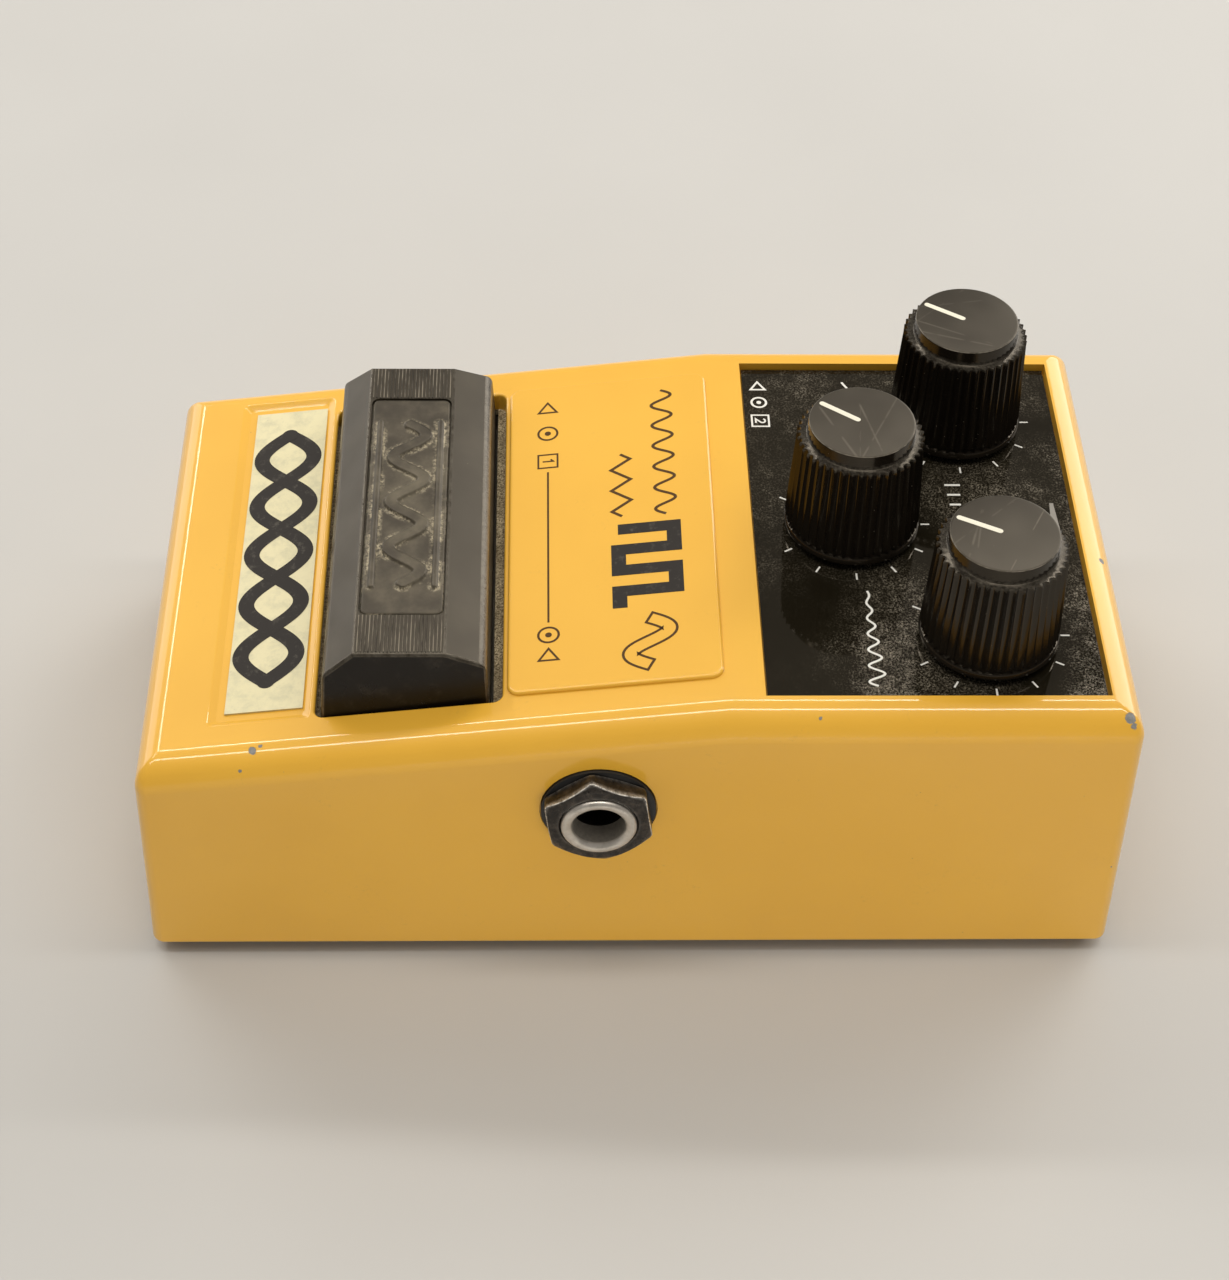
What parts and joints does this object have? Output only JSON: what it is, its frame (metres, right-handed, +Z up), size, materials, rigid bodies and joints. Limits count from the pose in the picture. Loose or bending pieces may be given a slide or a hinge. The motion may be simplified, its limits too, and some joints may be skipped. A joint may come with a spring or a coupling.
{
  "type": "guitar effects pedal",
  "caption": "Compact floor effects pedal: yellow die-cast case with sloped top, black footswitch button, ribbed control knobs, phone jacks in the sides and a battery door below.",
  "frame": {"origin": "bottom centre of the pedal, on the underside of the rubber sheet", "axes": "+Z up; -Y towards the player, where the footswitch button is; +Y to the rear, where the knobs are; +X right side with the input jack; -X left side with the outputs"},
  "size_m": [0.0792, 0.1262, 0.0611],
  "materials": {
    "yellow_enamel": "yellow enamel on die-cast metal, slightly glossy, small chips",
    "gloss_black_plate": "glossy black control plate with white printing",
    "cream_label": "cream strip with dark printing",
    "black_button": "satin black moulded plastic",
    "button_badge": "dark textured badge",
    "black_knob": "glossy black ribbed knob with a white line",
    "black_seal": "dusty black rubber",
    "spring_steel": "spring wire",
    "zinc_steel": "zinc plated sheet steel",
    "screw_steel": "plated steel screws",
    "bush_nickel": "worn nickel plating",
    "dark_nut": "black nickel with bright worn edges",
    "black_fibre": "black washer",
    "black_moulding": "moulded housing",
    "contact_bronze": "plated contacts",
    "board_green": "circuit board",
    "chip_black": "moulded chip",
    "can_blue": "sleeved capacitor cans",
    "film_red": "dipped film capacitors",
    "trimmer_blue": "trimmers",
    "resistor_tan": "resistors",
    "lead_insulation": "insulated wire",
    "pot_steel": "potentiometer can",
    "shaft_aluminium": "potentiometer shaft",
    "battery_can": "battery jacket",
    "foam_grey": "soft foam pad",
    "rubber_black": "ribbed rubber sheet",
    "door_plastic": "battery door"
  },
  "bodies": {
    "case": {"amplifier_chips": "chip_black", "base_plate": "zinc_steel", "base_screws": "screw_steel", "battery": "battery_can", "battery_leads": "lead_insulation", "battery_snap": "black_moulding", "board_ribbon": "lead_insulation", "board_standoffs": "zinc_steel", "bracket_screws": "screw_steel", "button_seal": "black_seal", "clock_chip": "chip_black", "control_board": "board_green", "control_plate": "gloss_black_plate", "dc_socket": "black_moulding", "dc_socket_pin": "contact_bronze", "delay_chip": "chip_black", "depth_pot": "pot_steel", "door_hinge_pin": "screw_steel", "electrolytic_capacitors": "can_blue", "enclosure": "yellow_enamel", "film_capacitors": "film_red", "front_label": "cream_label", "input_jack_body": "black_moulding", "input_jack_bush": "bush_nickel", "input_jack_contacts": "contact_bronze", "input_jack_nut": "dark_nut", "jack_leads": "lead_insulation", "jack_washers": "black_fibre", "main_board": "board_green", "momentary_switch": "black_moulding", "output_a_jack_body": "black_moulding", "output_a_jack_bush": "bush_nickel", "output_a_jack_contacts": "contact_bronze", "output_a_jack_nut": "dark_nut", "output_b_jack_body": "black_moulding", "output_b_jack_bush": "bush_nickel", "output_b_jack_contacts": "contact_bronze", "output_b_jack_nut": "dark_nut", "pot_nuts": "screw_steel", "pot_washers": "screw_steel", "rate_pot": "pot_steel", "resistors": "resistor_tan", "return_springs": "spring_steel", "rubber_sheet": "rubber_black", "supply_leads": "lead_insulation", "switch_bracket": "zinc_steel", "switch_leads": "lead_insulation", "time_pot": "pot_steel", "trimmers": "trimmer_blue"},
    "button": {"footswitch_button": "black_button", "button_badge": "button_badge"},
    "plunger": {"switch_plunger": "black_moulding"},
    "rate_control": {"rate_knob": "black_knob", "rate_pot_shaft": "shaft_aluminium"},
    "time_control": {"time_knob": "black_knob", "time_pot_shaft": "shaft_aluminium"},
    "depth_control": {"depth_knob": "black_knob", "depth_pot_shaft": "shaft_aluminium"},
    "door": {"battery_door": "door_plastic", "battery_foam": "foam_grey"}
  },
  "joints": [
    {"name": "button_press", "type": "slide", "parent": "case", "child": "button", "axis": [0, 0, -1], "range_m": [0, 0.003], "stiffness_N_per_m": 1500, "springref_m": -0.003, "deforming": ["return_springs"]},
    {"name": "plunger_press", "type": "slide", "parent": "case", "child": "plunger", "axis": [0, 0, -1], "range_m": [0, 0.003]},
    {"name": "rate_turn", "type": "hinge", "parent": "case", "child": "rate_control", "pos_m": [-0.0203, 0.0441, 0.045], "axis": [0, 0, 1], "range_deg": [-300, 0]},
    {"name": "time_turn", "type": "hinge", "parent": "case", "child": "time_control", "pos_m": [0, 0.0285, 0.045], "axis": [0, 0, 1], "range_deg": [-300, 0]},
    {"name": "depth_turn", "type": "hinge", "parent": "case", "child": "depth_control", "pos_m": [0.0203, 0.0441, 0.045], "axis": [0, 0, 1], "range_deg": [-300, 0]},
    {"name": "door_hinge", "type": "hinge", "parent": "case", "child": "door", "pos_m": [0, -0.028, 0.0021], "axis": [1, 0, 0], "range_deg": [0, 95]}
  ],
  "couplings": [
    {"joint": "plunger_press", "follows": "button_press", "ratio": 1}
  ]
}
